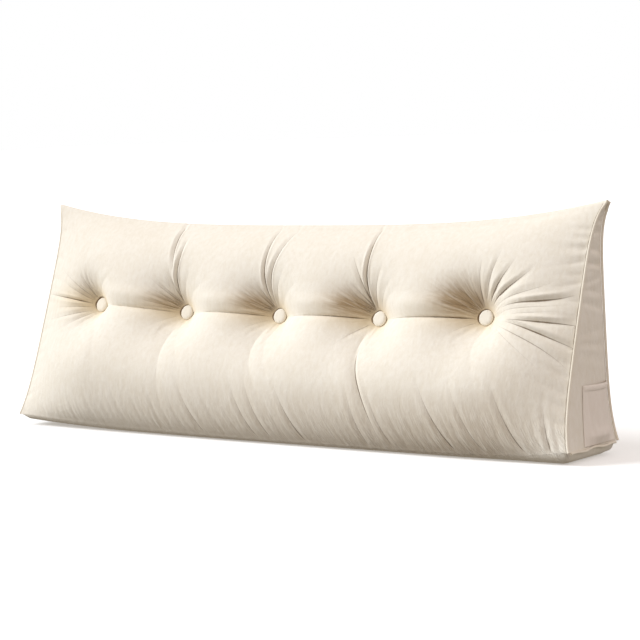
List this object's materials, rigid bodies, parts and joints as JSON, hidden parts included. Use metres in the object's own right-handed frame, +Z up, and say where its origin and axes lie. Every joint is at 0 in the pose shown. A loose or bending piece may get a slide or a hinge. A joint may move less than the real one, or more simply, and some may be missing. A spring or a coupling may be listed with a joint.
{
  "type": "wedge backrest pillow",
  "caption": "Long wedge-shaped filled backrest pillow with a tufted front in one row, piped end seams and a patch pocket on one end.",
  "frame": {"origin": "middle of the base panel on the plane that it rests on", "axes": "+X along the pillow towards the end with the pocket, -Y out of the tufted front, +Z up"},
  "size_m": [1.5135, 0.2279, 0.5038],
  "materials": {
    "cover_velvet": "short-pile ivory velvet",
    "button_velvet": "the same velvet stretched over a button mould",
    "piping_velvet": "the same velvet folded into a narrow piping",
    "pocket_velvet": "the same velvet, single layer, hemmed"
  },
  "bodies": {
    "root": {"cushion": "cover_velvet", "button_1": "button_velvet", "button_2": "button_velvet", "button_3": "button_velvet", "button_4": "button_velvet", "button_5": "button_velvet", "piping_left_front": "piping_velvet", "piping_left_base": "piping_velvet", "piping_left_back": "piping_velvet", "piping_right_front": "piping_velvet", "piping_right_base": "piping_velvet", "piping_right_back": "piping_velvet", "pocket": "pocket_velvet"}
  },
  "joints": []
}
